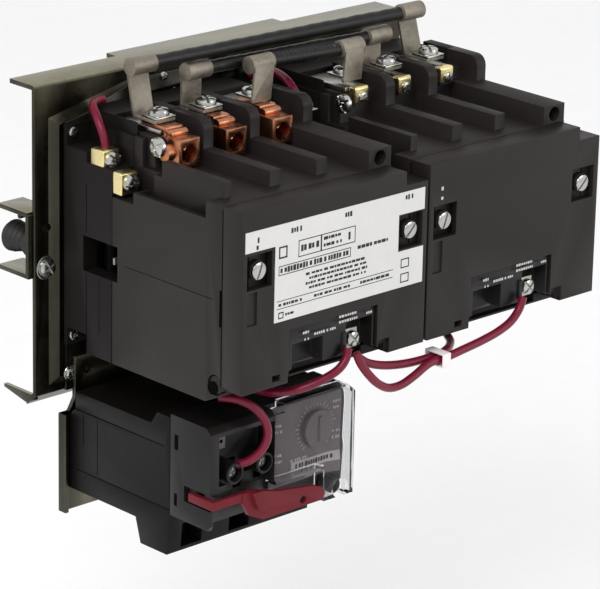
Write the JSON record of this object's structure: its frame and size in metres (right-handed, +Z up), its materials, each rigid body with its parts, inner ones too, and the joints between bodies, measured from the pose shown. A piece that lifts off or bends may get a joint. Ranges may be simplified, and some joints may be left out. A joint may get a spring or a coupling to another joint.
{
  "type": "reversing magnetic motor starter",
  "caption": "Reversing magnetic motor starter: paired contactors on a back plate with jumpers, interlock and overload relay.",
  "frame": {"origin": "middle of the rear edge of the back plate's top flange, where it rests on the panel", "axes": "+X to the right seen from the front, +Y back into the panel, +Z up"},
  "size_m": [0.2323, 0.1493, 0.2142],
  "materials": {
    "zinc_plated_steel": "satin",
    "steel": "satin",
    "rubber_boot": "matte",
    "black_phenolic": "satin",
    "black_nylon": "semi-gloss",
    "laminated_steel": "satin",
    "silver_contact": "satin",
    "copper": "polished",
    "tinned_copper": "matte",
    "grey_panel": "satin",
    "clear_plastic": "clear",
    "red_plastic": "satin",
    "white_label": "matte",
    "white_nylon": "matte",
    "wine_wire": "gloss"
  },
  "bodies": {
    "frame": {"aux_wire_left": "wine_wire", "aux_wire_right": "wine_wire", "back_plate": "zinc_plated_steel", "coil_jumper_front": "wine_wire", "coil_jumper_rear": "wine_wire", "coil_wire_left": "wine_wire", "contactor_sheet": "zinc_plated_steel", "interlock_boot": "rubber_boot", "interlock_bracket": "zinc_plated_steel", "left_coil": "black_nylon", "left_contact_housing": "black_phenolic", "left_front_cover": "black_phenolic", "left_line_terminal_1": "silver_contact", "left_line_terminal_2": "silver_contact", "left_line_terminal_3": "silver_contact", "left_load_terminal_1": "silver_contact", "left_load_terminal_2": "silver_contact", "left_load_terminal_3": "silver_contact", "left_magnet_core": "laminated_steel", "left_rear_base": "black_phenolic", "line_jumper_1": "tinned_copper", "line_jumper_2": "tinned_copper", "line_jumper_3": "tinned_copper", "line_lug_1": "copper", "line_lug_2": "copper", "line_lug_3": "copper", "rating_label": "white_label", "relay_face_panel": "grey_panel", "relay_front_housing": "black_phenolic", "relay_mounting_plate": "zinc_plated_steel", "relay_rear_housing": "black_phenolic", "relay_wire": "wine_wire", "right_coil": "black_nylon", "right_contact_housing": "black_phenolic", "right_front_cover": "black_phenolic", "right_line_terminal_1": "silver_contact", "right_line_terminal_2": "silver_contact", "right_line_terminal_3": "silver_contact", "right_load_terminal_1": "silver_contact", "right_load_terminal_2": "silver_contact", "right_load_terminal_3": "silver_contact", "right_magnet_core": "laminated_steel", "right_rear_base": "black_phenolic", "rocker_pivot": "zinc_plated_steel", "wire_tie": "white_nylon"},
    "left_carriage": {"left_armature": "laminated_steel", "left_contact_carrier": "black_nylon", "left_moving_contact_1": "silver_contact", "left_moving_contact_2": "silver_contact", "left_moving_contact_3": "silver_contact"},
    "right_carriage": {"right_armature": "laminated_steel", "right_contact_carrier": "black_nylon", "right_moving_contact_1": "silver_contact", "right_moving_contact_2": "silver_contact", "right_moving_contact_3": "silver_contact"},
    "rocker": {"interlock_rocker": "steel"},
    "reset": {"reset_lever": "red_plastic"},
    "dial": {"current_dial": "grey_panel"},
    "tester": {"test_button": "black_nylon"},
    "cover": {"relay_clear_cover": "clear_plastic"}
  },
  "joints": [
    {"name": "left_pull_in", "type": "slide", "parent": "frame", "child": "left_carriage", "axis": [0, 1, 0], "range_m": [0, 0.005], "stiffness_N_per_m": 500, "springref_m": -0.004},
    {"name": "right_pull_in", "type": "slide", "parent": "frame", "child": "right_carriage", "axis": [0, 1, 0], "range_m": [0, 0.005], "stiffness_N_per_m": 500, "springref_m": -0.004},
    {"name": "interlock_rock", "type": "hinge", "parent": "frame", "child": "rocker", "pos_m": [0.0108, -0.0125, -0.072], "axis": [0, 0, 1], "range_deg": [-3, 3]},
    {"name": "reset_push", "type": "slide", "parent": "frame", "child": "reset", "axis": [0, 1, 0], "range_m": [0, 0.003], "stiffness_N_per_m": 300, "springref_m": -0.002},
    {"name": "current_setting", "type": "hinge", "parent": "frame", "child": "dial", "pos_m": [-0.0283, -0.1175, -0.1476], "axis": [0, -1, 0], "range_deg": [-135, 135]},
    {"name": "test_push", "type": "slide", "parent": "frame", "child": "tester", "axis": [0, 1, 0], "range_m": [0, 0.0025], "stiffness_N_per_m": 300, "springref_m": -0.002},
    {"name": "cover_swing", "type": "hinge", "parent": "frame", "child": "cover", "pos_m": [-0.0104, -0.1165, -0.155], "axis": [0, 0, 1], "range_deg": [0, 110]}
  ]
}
